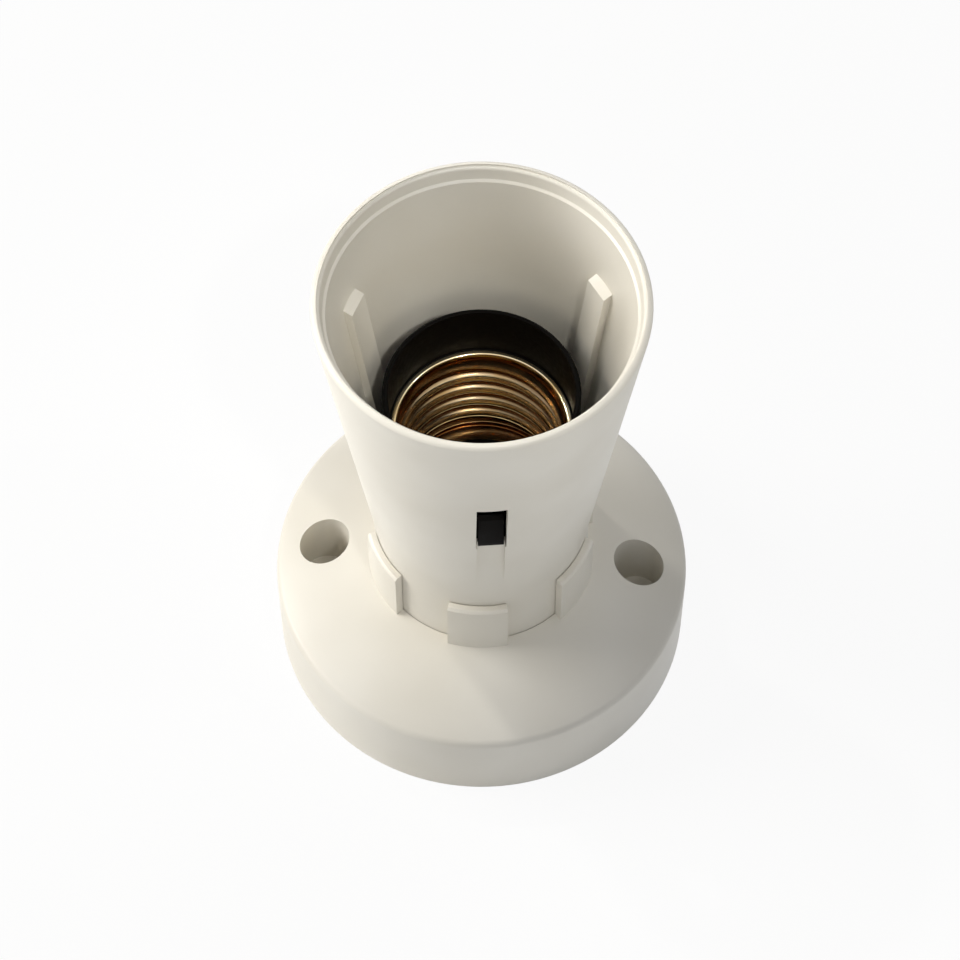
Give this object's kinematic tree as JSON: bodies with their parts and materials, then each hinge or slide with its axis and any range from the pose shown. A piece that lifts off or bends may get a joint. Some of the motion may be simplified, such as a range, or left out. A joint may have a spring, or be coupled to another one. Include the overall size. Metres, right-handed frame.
{
  "type": "lamp holder",
  "caption": "Surface lamp holder: round domed base with two screw recesses, conical white tube, black insert and brass screw shell for a screw-cap lamp.",
  "frame": {"origin": "middle of the round mounting face, on the surface that the base is screwed to", "axes": "+Z out of the mouth along the lamp's axis, the two fixing holes lie along X, the latch window faces roughly -Y"},
  "size_m": [0.0684, 0.0684, 0.096],
  "materials": {
    "white_base": "moulded, satin",
    "white_tube": "moulded, satin",
    "black_insert": "moulded thermoset",
    "brass_shell": "rolled sheet, bright",
    "brass_contact": "turned",
    "brass_strip": "stamped strip",
    "plated_rivet": "nickel plated",
    "spring_steel": "spring wire",
    "plated_screw": "zinc plated"
  },
  "bodies": {
    "holder": {"base_housing": "white_base", "shade_tube": "white_tube", "insulating_core": "black_insert", "screw_shell": "brass_shell", "contact_spring": "spring_steel", "live_strip": "brass_strip", "neutral_strip": "brass_strip", "live_rivet": "plated_rivet", "neutral_rivet": "plated_rivet", "live_terminal_plate": "brass_strip", "neutral_terminal_plate": "brass_strip", "core_screw_rear": "plated_screw", "core_screw_front": "plated_screw"},
    "contact": {"contact_button": "brass_contact", "stem_clip": "spring_steel"},
    "live_screw": {"live_terminal_screw": "plated_screw", "live_clamp_washer": "plated_screw"},
    "neutral_screw": {"neutral_terminal_screw": "plated_screw", "neutral_clamp_washer": "plated_screw"}
  },
  "joints": [
    {"name": "contact_press", "type": "slide", "parent": "holder", "child": "contact", "axis": [0, 0, -1], "range_m": [0, 0.0025], "stiffness_N_per_m": 1500, "springref_m": -0.0006, "deforming": ["contact_spring"]},
    {"name": "live_screw_travel", "type": "slide", "parent": "holder", "child": "live_screw", "axis": [0, 0, -1], "range_m": [0, 0.0025]},
    {"name": "neutral_screw_travel", "type": "slide", "parent": "holder", "child": "neutral_screw", "axis": [0, 0, -1], "range_m": [0, 0.0025]}
  ]
}
